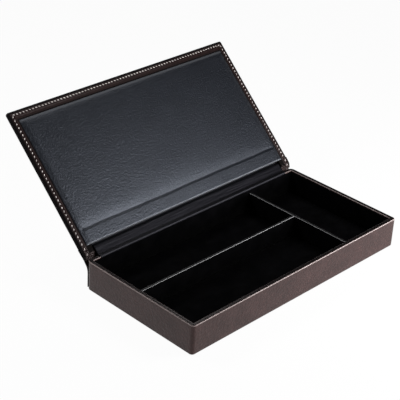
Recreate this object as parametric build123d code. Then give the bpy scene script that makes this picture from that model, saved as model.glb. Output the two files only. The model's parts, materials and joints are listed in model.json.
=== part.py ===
from build123d import *
import math
import os

# Desk organizer with a lift lid: a leatherette-covered board tray with three velvet-lined compartments,
# and a padded lid on a flexible leatherette hinge along the rear edge. The lid stands open, leaning back.
# Sizes are in millimetres. X runs along the tray, +Y to the rear, +Z up.
# The origin is the centre of the underside, on the surface that the tray stands on.

# ---- Tray ----
TRAY_LENGTH = 270.0
TRAY_DEPTH = 133.0
TRAY_HEIGHT = 30.0
FRONT_CORNER_RADIUS = 3.2    # upright outer corners
REAR_CORNER_RADIUS = 5.0

COVER = 0.8                  # leatherette round the walls
WALL_BOARD = 2.6
BASE_BOARD = 3.0
RIM_OUTER_ROUND = 1.3
RIM_INNER_ROUND = 0.6
FOOT_ROUND = 0.6             # lower outer edge of the wall covering
TURN_UNDER = 12.0            # covering turned in under the base

BASE_SHEET = 0.8             # felt that the tray stands on
SHEET_INSET = 1.5            # from the tray's sides to the sheet's edge

WALL_LINING = 1.0            # velvet on card, inside each wall
LINING_DROP = 1.2            # from the rim down to the top of the wall lining
LINING_ROUND = 0.4
FLOOR_PAD = 2.0
PAD_ROUND = 0.7
PAD_CLEARANCE = 0.25         # round each floor pad

DIVIDER = 2.4                # thickness over the velvet
DIVIDER_CORE = 1.2
DIVIDER_DROP = 3.0           # from the rim down to the top of the dividers
DIVIDER_ROUND = 1.1
LONG_DIVIDER_FROM_FRONT = 70.0
CROSS_DIVIDER_FROM_LEFT = 204.0

# ---- Lid ----
LID_DEPTH = 137.5
LID_SIDE_OVERHANG = 1.1      # past each end of the tray
LID_REAR_SET = 1.6           # closed: the lid board's rear edge behind the rear wall
LID_CORNER_RADIUS = 2.0
LEATHER = 1.2                # outer leatherette of the lid and the hinge
LID_BOARD = 2.0
LID_EDGE_ROUND = 1.6
LID_TURN_IN = 18.0
LID_FRONT_BORDER = 10.0      # from the lid's edge to the padded panel
LID_SIDE_BORDER = 8.0
PAD_SKIN = 0.6
STRETCHED_SKIN = 0.3         # the lining over the rail and in the groove
PANEL_PAD = 1.6              # height of the padded panel over the border, in its middle
RAIL_PAD = 1.2               # height of the padded rail beside the hinge, in its middle
PAD_CROWN = 0.3              # how much the pads swell in the middle
PAD_EDGE_ROUND = 0.8
FOAM_EDGE_ROUND = 0.25
RAIL_WIDTH = 15.0            # from the hinge edge to the middle of the groove
GROOVE_WIDTH = 3.0

# ---- Hinge ----
HINGE_BACK = 5.79            # turning axis behind the rear wall
HINGE_UP = 4.36              # turning axis above the rim
LID_OPEN_ANGLE = 137.0       # as it stands, from closed
CLOSED_CLEARANCE = 0.5       # closed: from the rail pad to the strip on the rear rim
RIM_CLEARANCE = 0.3          # closed: from the lid's border to the front rim
TABLE_CLEARANCE = 2.5        # fully open: from the lid's far edge to the table
HINGE_BEND = 22.0            # middle radius of the leather where it leaves the rear wall
HINGE_GLUE = 1.2             # straight leather between that bend and the glued flap
FLAP_INSET = 2.0             # from the tray's ends to the glued flap
FLAP_FOOT = 1.0              # lower edge of the flap above the table
FLAP_CORNER = 2.0
STRIP = 1.0                  # black strip inside the hinge
STRIP_INSET = 13.0           # from the tray's ends to the strip
STRIP_BEND = 1.2
STRIP_STUB = 1.2             # straight strip where it leaves the lid's edge
STRIP_SHOULDER = 3.0         # how far the slack strip comes forward before it goes down to the rim
STRIP_RIM_BEND = 1.1         # middle radius of the strip over the inner edge of the rear rim
STRIP_DOWN = 10.0            # how far the strip runs down inside the rear wall

# ---- Levels and faces that follow from these ----
RIM_WIDTH = COVER + WALL_BOARD + COVER
BOARD_FOOT = BASE_SHEET + COVER
FLOOR = BOARD_FOOT + BASE_BOARD
DIVIDER_TOP = TRAY_HEIGHT - DIVIDER_DROP
LINING_TOP = TRAY_HEIGHT - LINING_DROP
HALF_LENGTH = TRAY_LENGTH / 2
HALF_DEPTH = TRAY_DEPTH / 2
CELL_LEFT = -HALF_LENGTH + RIM_WIDTH + WALL_LINING
CELL_RIGHT = -CELL_LEFT
CELL_FRONT = -HALF_DEPTH + RIM_WIDTH + WALL_LINING
STRIP_FACE = HALF_DEPTH - COVER - WALL_BOARD - STRIP
CELL_REAR = STRIP_FACE - WALL_LINING
LONG_DIVIDER_Y = -HALF_DEPTH + LONG_DIVIDER_FROM_FRONT
CROSS_DIVIDER_X = -HALF_LENGTH + CROSS_DIVIDER_FROM_LEFT

LID_LENGTH = TRAY_LENGTH + 2 * LID_SIDE_OVERHANG
LID_THICKNESS = LEATHER + LID_BOARD + LEATHER
LID_GAP = STRIP + RAIL_PAD + CLOSED_CLEARANCE
LID_LOW = TRAY_HEIGHT + LID_GAP
LID_TOP = LID_LOW + LID_THICKNESS
LID_REAR = HALF_DEPTH + LID_REAR_SET
LID_FRONT = LID_REAR - LID_DEPTH
LID_BOARD_REAR = LID_REAR - PAD_SKIN
LID_MIDDLE = (LID_FRONT + LID_REAR) / 2
GROOVE_Y = LID_REAR - RAIL_WIDTH
HINGE_Y = HALF_DEPTH + HINGE_BACK
HINGE_Z = TRAY_HEIGHT + HINGE_UP
HINGE_AXIS = Axis((0, HINGE_Y, HINGE_Z), (-1, 0, 0))
FLAP_LENGTH = TRAY_LENGTH - 2 * FLAP_INSET
STRIP_LENGTH = TRAY_LENGTH - 2 * STRIP_INSET


# ---- Shapes used more than once ----
def slab(length, depth, low, high, radius=0.0):
    """An upright slab centred on the origin, with its upright corners rounded."""
    outline = RectangleRounded(length, depth, radius) if radius else Rectangle(length, depth)
    return extrude(Pos(0, 0, low) * outline, amount=high - low)


def tray_slab(inset, low, high):
    """The tray's outline, smaller all round by inset. The leatherette makes the rear corners rounder."""
    shape = slab(TRAY_LENGTH - 2 * inset, TRAY_DEPTH - 2 * inset, low, high)
    for end, radius in ((slice(0, 2), FRONT_CORNER_RADIUS), (slice(-2, None), REAR_CORNER_RADIUS)):
        corners = shape.edges().filter_by(Axis.Z).sort_by(Axis.Y)
        shape = fillet(corners[end], radius - inset)
    return shape


def block(x_range, y_range, z_range):
    """A block between two values on each axis."""
    size = [high - low for low, high in (x_range, y_range, z_range)]
    middle = [(high + low) / 2 for low, high in (x_range, y_range, z_range)]
    return Pos(*middle) * Box(*size)


def edges_at(shape, height):
    """The edges that lie flat at one height."""
    return shape.edges().filter_by_position(Axis.Z, height, height)


def side_section(outline, length):
    """A closed outline in the upright plane across the hinge, drawn out along X both ways."""
    return extrude(Plane.YZ * make_face(outline), amount=length / 2, both=True)


def bent_sheet(points, bends, thickness, length):
    """A sheet that follows a path seen from the side, given by its middle line."""
    path = FilletPolyline(*points, radius=bends)
    return extrude(Plane.YZ * trace(path, line_width=thickness), amount=length / 2, both=True)


def swing(shape):
    """Turns a piece of the lid from closed to where it stands."""
    return shape.rotate(HINGE_AXIS, LID_OPEN_ANGLE)


def swing_point(y, z):
    """Where a point of the closed lid lies when the lid stands open."""
    turn = math.radians(LID_OPEN_ANGLE)
    back, up = y - HINGE_Y, z - HINGE_Z
    return (
        HINGE_Y + back * math.cos(turn) + up * math.sin(turn),
        HINGE_Z - back * math.sin(turn) + up * math.cos(turn),
    )


# ---- Tray: boards ----
def wall_ring():
    """The four wall boards as one ring, under their covering."""
    top = TRAY_HEIGHT - COVER
    inset = 2 * (COVER + WALL_BOARD)
    inside = slab(TRAY_LENGTH - inset, TRAY_DEPTH - inset, BOARD_FOOT, top)
    return tray_slab(COVER, BOARD_FOOT, top) - inside


def mitred_wall(toward, along_x):
    """One board of the ring, cut at 45 degrees at both ends. toward is -1 or 1 along the other axis."""
    reach = RIM_WIDTH + REAR_CORNER_RADIUS
    half_along, half_across = (HALF_LENGTH, HALF_DEPTH) if along_x else (HALF_DEPTH, HALF_LENGTH)
    corners = [
        (-half_along, toward * half_across),
        (half_along, toward * half_across),
        (half_along - reach, toward * (half_across - reach)),
        (-half_along + reach, toward * (half_across - reach)),
    ]
    if not along_x:
        corners = [(across, along) for along, across in corners]
    wedge = extrude(make_face(Polyline(*corners, close=True)), amount=TRAY_HEIGHT)
    return wall_ring() & wedge


def base_board():
    """Lies between the feet of the wall boards."""
    inset = 2 * (COVER + WALL_BOARD)
    return slab(TRAY_LENGTH - inset, TRAY_DEPTH - inset, BOARD_FOOT, FLOOR)


# ---- Tray: covering ----
def wall_cover():
    """Leatherette round the walls: over the rim, down inside to the base board, and in under the base."""
    skin = tray_slab(0, BASE_SHEET, TRAY_HEIGHT)
    skin = fillet(edges_at(skin, TRAY_HEIGHT), RIM_OUTER_ROUND)
    skin = fillet(edges_at(skin, BASE_SHEET), FOOT_ROUND)
    mouth = slab(TRAY_LENGTH - 2 * RIM_WIDTH, TRAY_DEPTH - 2 * RIM_WIDTH, FLOOR, TRAY_HEIGHT)
    skin -= mouth
    reach_x = HALF_LENGTH - RIM_WIDTH / 2 - RIM_OUTER_ROUND / 2
    reach_y = HALF_DEPTH - RIM_WIDTH / 2 - RIM_OUTER_ROUND / 2
    inner = edges_at(skin, TRAY_HEIGHT).filter_by_position(Axis.X, -reach_x, reach_x)
    skin = fillet(inner.filter_by_position(Axis.Y, -reach_y, reach_y), RIM_INNER_ROUND)
    skin -= wall_ring()
    skin -= base_board()
    window = 2 * TURN_UNDER
    skin -= slab(TRAY_LENGTH - window, TRAY_DEPTH - window, BASE_SHEET, BOARD_FOOT)
    # The black strip of the hinge takes the place of the turned-in covering behind it.
    behind_strip = (STRIP_FACE, HALF_DEPTH - COVER - WALL_BOARD)
    skin -= block((-STRIP_LENGTH / 2, STRIP_LENGTH / 2), behind_strip, (TRAY_HEIGHT - STRIP_DOWN, TRAY_HEIGHT))
    return skin - rear_rim_strip()


def base_sheet():
    """Felt under the base. It is pressed into the window of the turned-in covering."""
    sheet = tray_slab(SHEET_INSET, 0, BASE_SHEET)
    window = 2 * TURN_UNDER
    return sheet + slab(TRAY_LENGTH - window, TRAY_DEPTH - window, BASE_SHEET, BOARD_FOOT)


# ---- Tray: lining ----
def wall_lining(x_range, y_range):
    """A velvet-covered card that stands on the base board, with a soft top edge."""
    card = block(x_range, y_range, (FLOOR, LINING_TOP))
    long_axis = Axis.X if x_range[1] - x_range[0] > y_range[1] - y_range[0] else Axis.Y
    return fillet(edges_at(card, LINING_TOP).filter_by(long_axis), LINING_ROUND)


def floor_pad(x_range, y_range):
    """A velvet-covered pad on the floor of one compartment."""
    x_low, x_high = (x_range[0] + PAD_CLEARANCE, x_range[1] - PAD_CLEARANCE)
    y_low, y_high = (y_range[0] + PAD_CLEARANCE, y_range[1] - PAD_CLEARANCE)
    pad = block((x_low, x_high), (y_low, y_high), (FLOOR, FLOOR + FLOOR_PAD))
    return fillet(edges_at(pad, FLOOR + FLOOR_PAD), PAD_ROUND)


def divider(x_range, y_range, along_x):
    """A stiff core in a folded velvet cover: returns the core and the cover."""
    long_axis = Axis.X if along_x else Axis.Y
    whole = block(x_range, y_range, (FLOOR, DIVIDER_TOP))
    whole = fillet(edges_at(whole, DIVIDER_TOP).filter_by(long_axis), DIVIDER_ROUND)
    velvet = (DIVIDER - DIVIDER_CORE) / 2
    core_top = DIVIDER_TOP - velvet
    if along_x:
        core = block(x_range, (y_range[0] + velvet, y_range[1] - velvet), (FLOOR, core_top))
    else:
        core = block((x_range[0] + velvet, x_range[1] - velvet), y_range, (FLOOR, core_top))
    return core, whole - core


# ---- Lid, modelled closed ----
def lid_cover():
    """Outer leatherette of the lid, turned in round three edges. The fourth is the hinge's."""
    cover = Pos(0, LID_MIDDLE, 0) * slab(LID_LENGTH, LID_DEPTH, LID_LOW, LID_TOP)
    front_corners = cover.edges().filter_by(Axis.Z).group_by(Axis.Y)[0]
    cover = fillet(front_corners, LID_CORNER_RADIUS)
    rims = edges_at(cover, LID_TOP) + edges_at(cover, LID_LOW)
    all_but_the_hinge_edges = rims.sort_by(Axis.Y)[:-2]
    cover = fillet(all_but_the_hinge_edges, LID_EDGE_ROUND)
    cover -= lid_board()
    cover -= lid_infill_card()
    return cover - rear_edge_wrap()


def lid_board():
    """The stiff board of the lid. Its rear edge is covered by the lining."""
    depth = LID_BOARD_REAR - LID_FRONT - LEATHER
    board = Pos(0, LID_BOARD_REAR - depth / 2, 0) * slab(
        LID_LENGTH - 2 * LEATHER, depth, LID_LOW + LEATHER, LID_TOP - LEATHER
    )
    return fillet(board.edges().filter_by(Axis.Z).group_by(Axis.Y)[0], LID_CORNER_RADIUS - LEATHER)


def lid_infill_card():
    """Levels the board inside the turned-in leatherette."""
    half = LID_LENGTH / 2 - LID_TURN_IN
    return block((-half, half), (LID_FRONT + LID_TURN_IN, LID_BOARD_REAR), (LID_LOW, LID_LOW + LEATHER))


def rear_edge_wrap():
    """The lining where it is rolled over the rear edge of the lid board."""
    half = LID_LENGTH / 2 - LID_SIDE_BORDER
    return block((-half, half), (LID_BOARD_REAR, LID_REAR), (LID_LOW, LID_TOP - LEATHER))


def pad_form(front, rear, height, inset):
    """A soft pad on the lid's inner face, swelling towards its middle, smaller all round by inset."""
    low = LID_LOW - height + PAD_CROWN + inset
    y_front, y_rear = front + inset, rear - inset
    y_middle = (y_front + y_rear) / 2
    half = LID_LENGTH / 2 - LID_SIDE_BORDER - inset
    edge = max(PAD_EDGE_ROUND - inset, FOAM_EDGE_ROUND)
    from_side = [
        Line((y_front, LID_LOW), (y_front, low + edge)),
        RadiusArc((y_front, low + edge), (y_front + edge, low), edge),
        ThreePointArc((y_front + edge, low), (y_middle, low - PAD_CROWN), (y_rear - edge, low)),
        RadiusArc((y_rear - edge, low), (y_rear, low + edge), edge),
        Line((y_rear, low + edge), (y_rear, LID_LOW)),
        Line((y_rear, LID_LOW), (y_front, LID_LOW)),
    ]
    from_front = [
        Line((-half, LID_LOW), (-half, low + edge)),
        RadiusArc((-half, low + edge), (-half + edge, low), edge),
        ThreePointArc((-half + edge, low), (0, low - PAD_CROWN), (half - edge, low)),
        RadiusArc((half - edge, low), (half, low + edge), edge),
        Line((half, low + edge), (half, LID_LOW)),
        Line((half, LID_LOW), (-half, LID_LOW)),
    ]
    along = side_section(from_side, LID_LENGTH)
    across = extrude(Plane.XZ * make_face(from_front), amount=2 * LID_DEPTH, both=True)
    return along & across


def panel_form(inset):
    """The large padded panel, from the front border to the groove."""
    return pad_form(LID_FRONT + LID_FRONT_BORDER, GROOVE_Y - GROOVE_WIDTH / 2, PANEL_PAD, inset)


def rail_form(inset):
    """The narrow padded rail between the groove and the hinge."""
    return pad_form(GROOVE_Y + GROOVE_WIDTH / 2, LID_REAR, RAIL_PAD, inset)


def lid_lining():
    """Black leatherette over both pads, pressed down between them and rolled over the hinge edge."""
    half = LID_LENGTH / 2 - LID_SIDE_BORDER - PAD_EDGE_ROUND
    groove = (GROOVE_Y - GROOVE_WIDTH, GROOVE_Y + GROOVE_WIDTH)
    floor_of_groove = block((-half, half), groove, (LID_LOW - STRETCHED_SKIN, LID_LOW))
    skin = panel_form(0) + rail_form(0) + floor_of_groove + rear_edge_wrap()
    return skin - lid_foam_panel() - lid_foam_rail()


def lid_foam_panel():
    """Thin foam under the large panel."""
    return panel_form(PAD_SKIN)


def lid_foam_rail():
    """Foam under the rail, close under the stretched lining."""
    return rail_form(STRETCHED_SKIN)


# ---- Hinge ----
def hinge_leather_path():
    """Middle line of the outer leatherette, from the lid's rear edge to the top of the glued flap."""
    start = swing_point(LID_REAR, LID_TOP - LEATHER / 2)
    lean = math.radians(LID_OPEN_ANGLE - 90)
    wall_y = HALF_DEPTH + LEATHER / 2
    corner = (wall_y, start[1] - (start[0] - wall_y) / math.tan(lean))
    bend_length = HINGE_BEND * math.tan(lean / 2)
    return start, corner, (corner[0], corner[1] - bend_length - HINGE_GLUE)


def hinge_leather():
    """The free part of the outer leatherette, tapering from the lid's length to the flap's."""
    start, corner, end = hinge_leather_path()
    sheet = bent_sheet([start, corner, end], HINGE_BEND, LEATHER, LID_LENGTH)
    high, low = start[1] + LEATHER, end[1]
    sides = Polyline(
        (-LID_LENGTH / 2, high),
        (LID_LENGTH / 2, high),
        (FLAP_LENGTH / 2, low),
        (-FLAP_LENGTH / 2, low),
        close=True,
    )
    return sheet & extrude(Plane.XZ * make_face(sides), amount=TRAY_DEPTH, both=True)


def rear_flap():
    """The outer leatherette glued to the rear wall."""
    top = hinge_leather_path()[2][1]
    flap = block((-FLAP_LENGTH / 2, FLAP_LENGTH / 2), (HALF_DEPTH, HALF_DEPTH + LEATHER), (FLAP_FOOT, top))
    return fillet(flap.edges().filter_by(Axis.Y).group_by(Axis.Z)[0], FLAP_CORNER)


def hinge_lining():
    """The free part of the black strip, from under the lid's rear edge to the rear rim. It is slack: it comes
    forward as a shoulder before it goes down."""
    lid_level = LID_TOP - LEATHER - STRIP / 2
    start = swing_point(LID_REAR, lid_level)
    knee = swing_point(LID_REAR + STRIP_STUB, lid_level)
    shoulder = (knee[0] - STRIP_SHOULDER, knee[1])
    rim = (HALF_DEPTH, TRAY_HEIGHT + STRIP / 2)
    end = (HALF_DEPTH - RIM_OUTER_ROUND, rim[1])
    return bent_sheet([start, knee, shoulder, rim, end], STRIP_BEND, STRIP, STRIP_LENGTH)


def rear_rim_strip():
    """The black strip where it is glued over the rear rim and down the inside of the wall."""
    start = (HALF_DEPTH - RIM_OUTER_ROUND, TRAY_HEIGHT + STRIP / 2)
    corner = (STRIP_FACE + STRIP / 2, start[1])
    end = (corner[0], TRAY_HEIGHT - STRIP_DOWN)
    return bent_sheet([start, corner, end], STRIP_RIM_BEND, STRIP, STRIP_LENGTH)


# ---- Assembly ----
def make_parts():
    cross_x = (CROSS_DIVIDER_X - DIVIDER / 2, CROSS_DIVIDER_X + DIVIDER / 2)
    long_y = (LONG_DIVIDER_Y - DIVIDER / 2, LONG_DIVIDER_Y + DIVIDER / 2)
    full_x = (CELL_LEFT - WALL_LINING, CELL_RIGHT + WALL_LINING)
    left_x = (CELL_LEFT, cross_x[0])
    right_x = (cross_x[1], CELL_RIGHT)
    cell_y = (CELL_FRONT, CELL_REAR)
    long_core, long_cover = divider(left_x, long_y, True)
    cross_core, cross_cover = divider(cross_x, cell_y, False)
    return {
        "base_board": base_board(),
        "front_wall_board": mitred_wall(-1, True),
        "rear_wall_board": mitred_wall(1, True),
        "left_wall_board": mitred_wall(-1, False),
        "right_wall_board": mitred_wall(1, False),
        "wall_cover": wall_cover(),
        "base_sheet": base_sheet(),
        "front_wall_lining": wall_lining(full_x, (CELL_FRONT - WALL_LINING, CELL_FRONT)),
        "rear_wall_lining": wall_lining(full_x, (CELL_REAR, CELL_REAR + WALL_LINING)),
        "left_wall_lining": wall_lining((CELL_LEFT - WALL_LINING, CELL_LEFT), cell_y),
        "right_wall_lining": wall_lining((CELL_RIGHT, CELL_RIGHT + WALL_LINING), cell_y),
        "front_floor_pad": floor_pad(left_x, (CELL_FRONT, long_y[0])),
        "rear_floor_pad": floor_pad(left_x, (long_y[1], CELL_REAR)),
        "side_floor_pad": floor_pad(right_x, cell_y),
        "long_divider_core": long_core,
        "long_divider_lining": long_cover,
        "cross_divider_core": cross_core,
        "cross_divider_lining": cross_cover,
        "lid_board": swing(lid_board()),
        "lid_infill_card": swing(lid_infill_card()),
        "lid_foam_panel": swing(lid_foam_panel()),
        "lid_foam_rail": swing(lid_foam_rail()),
        "lid_cover": swing(lid_cover()),
        "lid_lining": swing(lid_lining()),
        "hinge_leather": hinge_leather(),
        "hinge_lining": hinge_lining(),
        "rear_flap": rear_flap(),
        "rear_rim_strip": rear_rim_strip(),
    }


def lid_travel():
    """How far the lid turns from where it stands: down to the front rim, and back towards the table."""
    closing_drop = math.degrees((LID_GAP - RIM_CLEARANCE) / (HINGE_Y + HALF_DEPTH))
    reach = math.hypot(HINGE_Y - LID_FRONT, LID_TOP - HINGE_Z)
    start = math.degrees(math.atan2(LID_TOP - HINGE_Z, HINGE_Y - LID_FRONT))
    dip = math.degrees(math.asin((HINGE_Z - TABLE_CLEARANCE) / reach))
    fully_open = 180 - start + dip
    return -(LID_OPEN_ANGLE + closing_drop), fully_open - LID_OPEN_ANGLE


os.makedirs("parts", exist_ok=True)
for name, shape in make_parts().items():
    export_step(shape, f"parts/{name}.step")

print("hinge axis at y, z:", round(HINGE_Y, 3), round(HINGE_Z, 3))
print("lid travel in degrees:", [round(limit, 2) for limit in lid_travel()])
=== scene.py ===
import json
import math
import random

import bmesh
import bpy
import numpy as np
from mathutils import Matrix, Vector, noise


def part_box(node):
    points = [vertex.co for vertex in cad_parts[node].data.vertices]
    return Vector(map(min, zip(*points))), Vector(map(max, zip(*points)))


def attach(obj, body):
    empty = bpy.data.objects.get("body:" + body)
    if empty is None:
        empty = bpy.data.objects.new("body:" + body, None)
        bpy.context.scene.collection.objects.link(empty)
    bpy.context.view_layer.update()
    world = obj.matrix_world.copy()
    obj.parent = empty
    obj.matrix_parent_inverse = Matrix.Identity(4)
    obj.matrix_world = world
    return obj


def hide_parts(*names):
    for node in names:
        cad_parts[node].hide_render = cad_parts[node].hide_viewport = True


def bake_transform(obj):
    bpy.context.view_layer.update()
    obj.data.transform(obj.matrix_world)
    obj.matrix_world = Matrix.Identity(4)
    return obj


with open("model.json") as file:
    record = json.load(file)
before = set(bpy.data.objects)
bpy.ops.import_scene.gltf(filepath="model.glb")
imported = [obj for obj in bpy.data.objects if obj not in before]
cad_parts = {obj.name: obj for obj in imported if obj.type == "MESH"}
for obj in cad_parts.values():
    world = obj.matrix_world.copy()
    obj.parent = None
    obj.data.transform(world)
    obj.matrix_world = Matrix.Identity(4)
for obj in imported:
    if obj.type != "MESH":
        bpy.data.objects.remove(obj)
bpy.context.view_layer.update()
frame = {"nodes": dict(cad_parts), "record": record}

MM = 0.001
WELD = 0.002 * MM  # points closer than this become one

# ---- Tray, in millimetres ----
TRAY_LENGTH, TRAY_DEPTH, TRAY_HEIGHT = 270.0, 133.0, 30.0
TRAY_CORNERS = (3.2, 5.0)  # radii of the front and the rear corners
COVER, WALL_BOARD = 0.8, 2.6
RIM_WIDTH, RIM_DIP = 4.2, 0.07
RIM_ROUND_OUTSIDE, RIM_ROUND_INSIDE, FOOT_ROUND = 1.1, 0.7, 0.6
BASE_SHEET = 0.8
FLOOR = 4.6
TURN_UNDER = 12.0
LINING_TOP, LINING, LINING_ROUND = 28.8, 1.0, 0.4
LINING_HALF_X, LINING_HALF_Y, LINING_CENTRE_Y = 130.8, 62.2, -0.1
FLOOR_PAD_ROUND, FLOOR_PAD_CORNER = 1.1, 1.4
FLOOR_PAD_SLOPE, FLOOR_PAD_SWELL, FLOOR_PAD_CROWN = 5.0, 0.08, 0.22
DIVIDER_ROUND, EDGE_BINDING = 0.45, 1.0

# ---- Lid ----
LID_LENGTH, LID_DEPTH, LID_THICKNESS = 272.2, 137.5, 4.4
LID_REAR, LID_LOW = 68.1, 32.7  # hinge edge and inner face of the closed lid
LID_CORNER_RADIUS = 2.0
LID_EDGE_ROUND = 1.6
LEATHER = 1.2
LID_FRONT_BORDER, LID_SIDE_BORDER = 10.0, 8.0
LID_TURN_IN = 18.0
LID_FLAT_FROM = 12.0
GROOVE_FROM_HINGE, GROOVE_DEPTH = 15.0, 0.80
PANEL_HEIGHT, PANEL_CROWN = 1.35, 0.30
ROLL_FROM, ROLL_DROP = 1.4, 1.25  # where the lining rolls over the hinge edge
LINING_BEHIND = 3.2  # how far it goes down behind that edge

# ---- Hinge ----
HINGE_Y, HINGE_Z = 72.29, 34.36
OPEN_ANGLE = math.radians(137.0)
UP_THE_LID = (0, -math.cos(OPEN_ANGLE), math.sin(OPEN_ANGLE))
OUT_OF_THE_LID = (0, math.sin(OPEN_ANGLE), math.cos(OPEN_ANGLE))
HINGE_BEND = 22.0
HINGE_FREE = 20.6
FLAP_FOOT, FLAP_HALF = 1.0, 133.0
HEM, HEM_INNER, HEM_BEND = 0.9, 123.6, 3.0
HEM_END = (68.6, 29.2)
STRIP, STRIP_HALF = 1.0, 122.0
STRIP_BEND, STRIP_RIM_BEND = 1.2, 1.1
STRIP_STUB, STRIP_SHOULDER = 1.2, 3.0
STRIP_DOWN = 10.0
# The strip's painted highlight lies only on its fold over the rim, in front of this.
STRIP_HIGHLIGHT_INSIDE = 63.6  # the rim's fold lies in front of this

# ---- Stitching ----
STITCH_INSET, STITCH_PITCH, STITCH_LENGTH = 3.95, 3.6, 2.2
THREAD, THREAD_SINK, THREAD_RISE = 0.56, 0.30, 0.12
THREAD_VARIES, STITCH_SLANT, STITCH_WOBBLE = (0.92, 1.08), (0.62, 0.80), 0.05
FIRST_STITCH = 1.0  # where the rows at the sides start, from the hinge edge
STITCH_UNDER, STITCH_OVER = 0.20, 0.02  # how far the rows lie under the inner face and over the outer one
HINGE_ROW_FOOT, HEM_ROW_FOOT = FLAP_FOOT + 3, 30.5  # where the rows down the hinge end
WELT_HEIGHT, VALLEY_HALF, OUTER_WELTS = 0.42, 1.0, 0.55

# ---- Camera and lamps, in metres, radians and watts ----
CAMERA_AZIMUTH, CAMERA_ELEVATION, CAMERA_ROLL = -0.8117902627, 0.5119126380, -0.0559004191
CAMERA_TARGET, CAMERA_DISTANCE = Vector((55.683, 114.987, 0.0)) * MM, 1254.676 * MM
SENSOR_WIDTH, FOCAL_PIXELS, IMAGE_PIXELS = 36, 1248.0, 400
CLIP_NEAR, CLIP_FAR = 0.01, 50
TRAY_MIDDLE = (0, 0.03, 0.03)
LEFT_WALL = (-0.135, 0, 0.02)
FRONT_WALL = (0.06, -0.066, 0.02)
LID_TOP = (0, 0.167, 0.12)
SOFTBOXES = (  # name, position, target, size, power
    ("softbox_near_front", (0.20, -0.27, 0.33), TRAY_MIDDLE, (0.18, 0.12), 1.2),
    ("softbox_front", (0.12, -0.36, 0.28), TRAY_MIDDLE, (0.20, 0.12), 0.3),
    ("softbox_low_right", (0.34, -0.36, 0.10), FRONT_WALL, (0.20, 0.12), 2.1),
    ("softbox_left_behind", (-0.24, 0.30, 0.40), LEFT_WALL, (0.18, 0.10), 0.95),
    ("softbox_behind", (0.225, 0.28, 0.495), LID_TOP, (0.20, 0.12), 0.4),
)
# The world's strength falls from the first to the second value between these heights of the view direction.
HORIZON_HEIGHTS, HORIZON_STRENGTHS = (0.17, 0.26), (1.0, 0.05)
STAGE_SIZE, STAGE_GREY, STAGE_GLOW_SHARE = 8, (0.92, 0.92, 0.92, 1), 0.96


# ---- Places ----
def open_point(y, z):
    """Where a point of the closed lid lies when the lid stands open."""
    back, up = y - HINGE_Y, z - HINGE_Z
    cos, sin = math.cos(OPEN_ANGLE), math.sin(OPEN_ANGLE)
    return HINGE_Y + back * cos + up * sin, HINGE_Z - back * sin + up * cos


def lid_place(points):
    """Points in the lid's own x, v (from the hinge edge) and w (from the inner face outwards), placed as
    the lid stands."""
    points = np.asarray(points, float)
    y, z = open_point(LID_REAR - points[:, 1], LID_LOW + points[:, 2])
    return np.column_stack((points[:, 0], y, z))


def soft_step(low, high, value):
    t = np.clip((value - low) / (high - low), 0, 1)
    return t * t * (3 - 2 * t)


def waves(points, size, seed):
    """Smooth noise from -1 to 1 at each point. size holds the lengths of its waves, in millimetres."""
    scaled = np.asarray(points) / np.asarray(size, float)
    return np.array([noise.noise(Vector(p) + Vector((seed, 3.1 * seed, 7.7))) for p in scaled])


def crease(x, along, seed, pitch, long):
    """Smooth noise from -1 to 1 for folds that lie along the hinge."""
    return noise.noise(Vector((x / long + seed, along / pitch, seed)))


def arc(centre, radius, start, end, steps):
    """Points of an arc in a plane, angles in degrees."""
    turns = [math.radians(start + (end - start) * k / steps) for k in range(steps + 1)]
    return [(centre[0] + radius * math.cos(a), centre[1] + radius * math.sin(a)) for a in turns]


def spaced(low, high, fine, coarse, edge):
    """Values from low to high: steps of fine within edge of both ends, growing to coarse between."""
    values = [low]
    while values[-1] < high:
        near = min(values[-1] - low, high - values[-1])
        step = fine if near < edge else min(coarse, fine + (near - edge) * 0.35)
        values.append(values[-1] + step)
    values = np.array(values)
    return low + (values - low) * (high - low) / (values[-1] - low)


# ---- Meshes ----
def grid_faces(rows, columns, close_rows=False, close_columns=False):
    faces = []
    for i in range(rows if close_rows else rows - 1):
        for j in range(columns if close_columns else columns - 1):
            a, b = i * columns + j, i * columns + (j + 1) % columns
            down = (i + 1) % rows * columns
            faces.append((a, b, down + (j + 1) % columns, down + j))
    return faces


def piece(name, parts, material, cap=True):
    """A mesh from one or more (points in millimetres, faces), welded, capped and smooth."""
    bm = bmesh.new()
    for points, faces in parts:
        verts = [bm.verts.new(Vector(p) * MM) for p in points]
        for face in faces:
            corners = [verts[k] for k in dict.fromkeys(face)]
            if len(corners) > 2:
                bm.faces.new(corners)
    bmesh.ops.remove_doubles(bm, verts=bm.verts, dist=WELD)
    bmesh.ops.dissolve_degenerate(bm, edges=bm.edges, dist=WELD / 2)
    if cap:
        bmesh.ops.holes_fill(bm, edges=[e for e in bm.edges if e.is_boundary], sides=0)
    bmesh.ops.recalc_face_normals(bm, faces=bm.faces)
    for face in bm.faces:
        face.smooth = True
    mesh = bpy.data.meshes.new(name)
    bm.to_mesh(mesh)
    bm.free()
    mesh.materials.append(material)
    obj = bpy.data.objects.new(name, mesh)
    bpy.context.scene.collection.objects.link(obj)
    return obj


# ---- Shader nodes ----
def new_material(name):
    material = bpy.data.materials.new(name)
    material.use_nodes = True
    nodes, links = material.node_tree.nodes, material.node_tree.links
    shader = nodes["Principled BSDF"]
    place = nodes.new("ShaderNodeTexCoord").outputs["Object"]
    return material, nodes, links, shader, place


def add_noise(nodes, links, place, scale, detail=2.0, stretch=(1, 1, 1), rough=0.5):
    mapping = nodes.new("ShaderNodeMapping")
    mapping.inputs["Scale"].default_value = stretch
    links.new(place, mapping.inputs["Vector"])
    texture = nodes.new("ShaderNodeTexNoise")
    texture.inputs["Scale"].default_value = scale
    texture.inputs["Detail"].default_value = detail
    texture.inputs["Roughness"].default_value = rough
    links.new(mapping.outputs[0], texture.inputs["Vector"])
    return texture.outputs["Fac"]


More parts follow.
